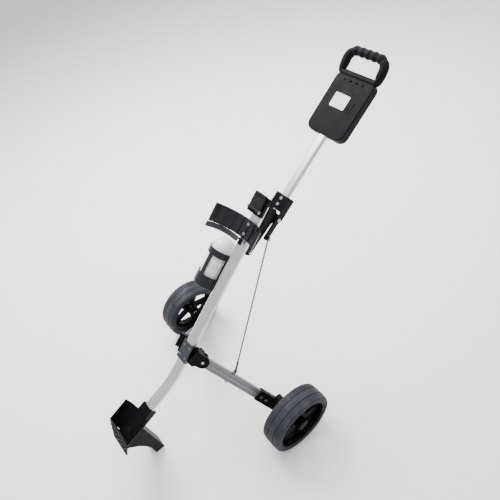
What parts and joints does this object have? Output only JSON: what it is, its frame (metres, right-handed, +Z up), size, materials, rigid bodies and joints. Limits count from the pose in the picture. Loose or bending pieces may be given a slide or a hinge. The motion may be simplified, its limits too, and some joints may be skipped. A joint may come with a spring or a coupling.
{
  "type": "folding two-wheel pull cart",
  "caption": "Folding two-wheel bag pull cart with spine tube, cradle, bottle in cage, rod-linked folding legs and a folding loop handle.",
  "frame": {"origin": "centre of the cart's footprint box, on the ground", "axes": "+Y from the stand towards the handle, +X towards the right-hand wheel, +Z up"},
  "size_m": [0.746, 1.2681, 1.0712],
  "materials": {
    "silver_tube": "satin anodised",
    "stem_tube": "satin anodised",
    "leg_alloy": "grooved, anodised grey",
    "black_plastic": "fine moulded grain",
    "satin_plastic": "satin moulded",
    "grey_plastic": "satin moulded",
    "soft_rubber": "soft touch",
    "tyre_rubber": "foamed tyre, matte",
    "hub_steel": "dark plated",
    "bolt_steel": "zinc plated",
    "bush_plastic": "nylon",
    "white_plastic": "smooth, milky",
    "webbing": "woven webbing",
    "hook_plastic": "moulded"
  },
  "bodies": {
    "frame": {"main_tube": "silver_tube", "lower_end_plug": "black_plastic", "upper_end_plug": "black_plastic", "lower_rest": "black_plastic", "stand_pad": "soft_rubber", "hub_saddle": "hub_steel", "hub_rivets": "bolt_steel", "leg_block_right": "black_plastic", "leg_pivot_bolt_right": "bolt_steel", "leg_block_left": "black_plastic", "leg_pivot_bolt_left": "bolt_steel", "hinge_bracket": "black_plastic", "hinge_bolt": "bolt_steel", "bracket_bolts": "bolt_steel", "lock_housing": "black_plastic", "lock_lever_pin": "bolt_steel", "upper_cradle": "satin_plastic", "cradle_bolts": "bolt_steel", "cradle_strap": "webbing", "strap_hook": "hook_plastic", "bottle_cage": "satin_plastic", "cage_screws": "bolt_steel"},
    "lock_lever": {"lock_lever": "grey_plastic"},
    "handle": {"handle_yoke": "black_plastic", "upper_tube": "stem_tube", "yoke_bolts": "bolt_steel", "console_base": "black_plastic", "console_lid": "black_plastic", "console_label": "white_plastic", "console_screws": "bolt_steel", "grip_loop": "soft_rubber", "link_pin_right": "bolt_steel"},
    "bottle": {"bottle": "white_plastic", "bottle_cap": "white_plastic"},
    "leg_right": {"leg_right": "leg_alloy", "wheel_carrier_right": "black_plastic", "carrier_bolts_right": "bolt_steel", "axle_right": "bolt_steel", "link_stud_right": "bolt_steel"},
    "wheel_right": {"tyre_right": "tyre_rubber", "rim_right": "black_plastic", "wheel_bush_right": "bush_plastic", "hub_cap_right": "black_plastic"},
    "leg_left": {"leg_left": "leg_alloy", "wheel_carrier_left": "black_plastic", "carrier_bolts_left": "bolt_steel", "axle_left": "bolt_steel"},
    "wheel_left": {"tyre_left": "tyre_rubber", "rim_left": "black_plastic", "wheel_bush_left": "bush_plastic", "hub_cap_left": "black_plastic"},
    "link_right": {"link_rod_right": "hub_steel"}
  },
  "joints": [
    {"name": "handle_fold", "type": "hinge", "parent": "frame", "child": "handle", "pos_m": [0, 0.16898, 0.71193], "axis": [-1, 0, 0], "range_deg": [0, 160]},
    {"name": "lock_lever_flip", "type": "hinge", "parent": "frame", "child": "lock_lever", "pos_m": [0, 0.10715, 0.78704], "axis": [1, 0, 0], "range_deg": [0, 60], "stiffness_Nm_per_rad": 0.15, "springref_deg": -17.19},
    {"name": "bottle_lift", "type": "slide", "parent": "frame", "child": "bottle", "axis": [0, 0.7314, 0.682], "range_m": [0, 0.17]},
    {"name": "leg_fold_right", "type": "hinge", "parent": "frame", "child": "leg_right", "pos_m": [0.058, -0.25523, 0.37652], "axis": [0.8408, -0.3692, 0.3959], "range_deg": [0, 70]},
    {"name": "wheel_spin_right", "type": "hinge", "parent": "leg_right", "child": "wheel_right", "pos_m": [0.332, -0.1067, 0.125], "axis": [1, 0, 0], "continuous": true},
    {"name": "leg_fold_left", "type": "hinge", "parent": "frame", "child": "leg_left", "pos_m": [-0.058, -0.25523, 0.37652], "axis": [0.8408, 0.3692, -0.3959], "range_deg": [0, 70]},
    {"name": "wheel_spin_left", "type": "hinge", "parent": "leg_left", "child": "wheel_left", "pos_m": [-0.332, -0.1067, 0.125], "axis": [1, 0, 0], "continuous": true},
    {"name": "link_turn_right", "type": "hinge", "parent": "handle", "child": "link_right", "pos_m": [0.036, 0.11384, 0.67282], "axis": [0.9989, 0.0365, 0.0279], "range_deg": [0, 152.64]}
  ],
  "couplings": [
    {"joint": "leg_fold_right", "follows": "handle_fold", "ratio": 0.4375},
    {"joint": "leg_fold_left", "follows": "handle_fold", "ratio": 0.4375},
    {"joint": "link_turn_right", "follows": "handle_fold", "ratio": 0.95395}
  ]
}
